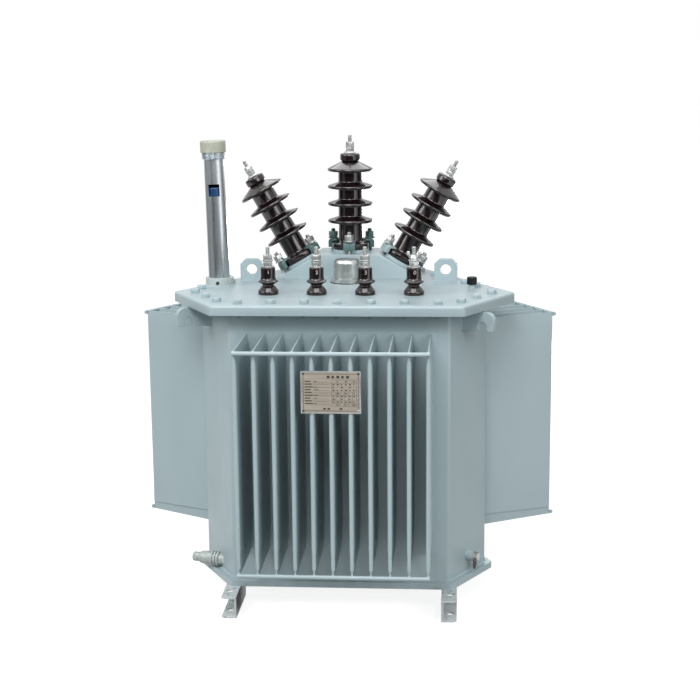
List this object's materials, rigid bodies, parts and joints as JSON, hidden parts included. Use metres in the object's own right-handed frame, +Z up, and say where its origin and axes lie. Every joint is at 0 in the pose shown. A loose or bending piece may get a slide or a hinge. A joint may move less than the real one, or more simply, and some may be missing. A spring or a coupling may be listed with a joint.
{
  "type": "power transformer",
  "caption": "Oil-filled three-phase power transformer with a six-sided tank, corrugated cooling fins on three sides, porcelain bushings, lifting lugs and channel feet.",
  "frame": {"origin": "centre of the bounding box at ground level, under the feet", "axes": "+Z up, -Y towards the front with the nameplate, +X to the viewer's right"},
  "size_m": [1.0914, 0.9558, 1.1576],
  "materials": {
    "tank_paint": "semi-gloss pale blue-grey paint",
    "brown_porcelain": "dark brown glazed porcelain",
    "zinc_steel": "galvanised",
    "clamp_paint": "teal paint on castings",
    "gauge_metal": "bright drawn tube",
    "float_plastic": "blue",
    "cap_plastic": "beige",
    "valve_alloy": "cast",
    "cap_rubber": "black",
    "plate_metal": "satin beige metal"
  },
  "bodies": {
    "root": {"tank_body": "tank_paint", "base_plate": "tank_paint", "tank_flange": "tank_paint", "cover": "tank_paint", "front_fin_bank": "tank_paint", "right_fin_bank": "tank_paint", "left_fin_bank": "tank_paint", "front_fin_rods": "tank_paint", "right_fin_rods": "tank_paint", "left_fin_rods": "tank_paint", "foot_front_left": "tank_paint", "foot_front_right": "tank_paint", "foot_rear_left": "tank_paint", "foot_rear_right": "tank_paint", "hv_turret": "tank_paint", "hv_seat_rings": "tank_paint", "gauge_flange": "tank_paint", "pocket_stub": "tank_paint", "lifting_lug_left": "tank_paint", "lifting_lug_right": "tank_paint", "tank_hook_left": "tank_paint", "tank_hook_right": "tank_paint", "tank_hook_rear": "tank_paint", "drain_valve": "tank_paint", "drain_cap": "tank_paint", "earth_boss": "tank_paint", "hv_bushing_left": "brown_porcelain", "hv_bushing_centre": "brown_porcelain", "hv_bushing_right": "brown_porcelain", "lv_bushing_1": "brown_porcelain", "lv_bushing_2": "brown_porcelain", "lv_bushing_3": "brown_porcelain", "lv_bushing_4": "brown_porcelain", "hv_terminals": "zinc_steel", "lv_terminals": "zinc_steel", "earth_bolt": "zinc_steel", "hv_clamps": "clamp_paint", "gauge_tube": "gauge_metal", "gauge_float": "float_plastic", "gauge_cap": "cap_plastic", "valve_flange": "valve_alloy", "valve_body": "valve_alloy", "pocket_cap": "cap_rubber", "nameplate": "plate_metal"}
  },
  "joints": []
}
